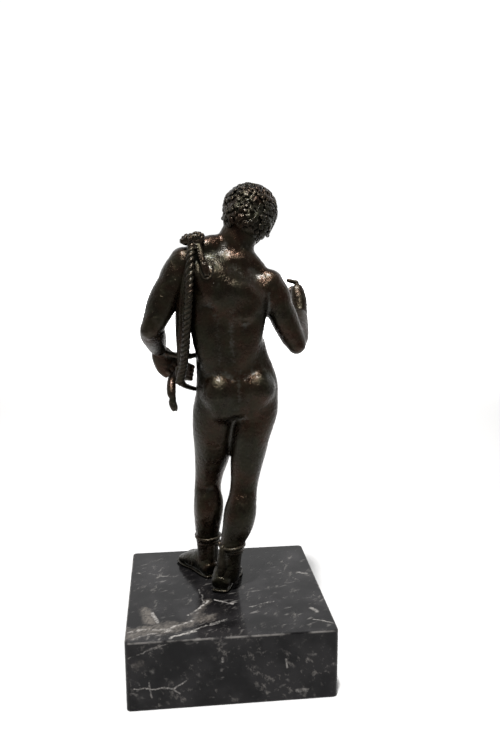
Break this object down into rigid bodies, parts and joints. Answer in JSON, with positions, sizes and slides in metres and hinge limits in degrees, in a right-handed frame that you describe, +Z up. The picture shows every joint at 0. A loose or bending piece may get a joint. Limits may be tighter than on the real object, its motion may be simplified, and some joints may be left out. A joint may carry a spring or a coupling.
{
  "type": "narcissus statuette",
  "caption": "Small cast bronze figure of a standing nude youth with bowed head, half boots and a goatskin on the left shoulder, on a square polished marble block.",
  "frame": {"origin": "middle of the block's underside, on the surface it stands on", "axes": "+Z up to the crown of the head, -Y the way the figure faces, +X towards the figure's left side"},
  "size_m": [0.07, 0.07, 0.1701],
  "materials": {
    "marble_plinth": "polished black marble with white veins",
    "bronze_figure": "cast bronze with a dark brown patina"
  },
  "bodies": {
    "root": {"marble_plinth": "marble_plinth", "bronze_figure": "bronze_figure"}
  },
  "joints": []
}
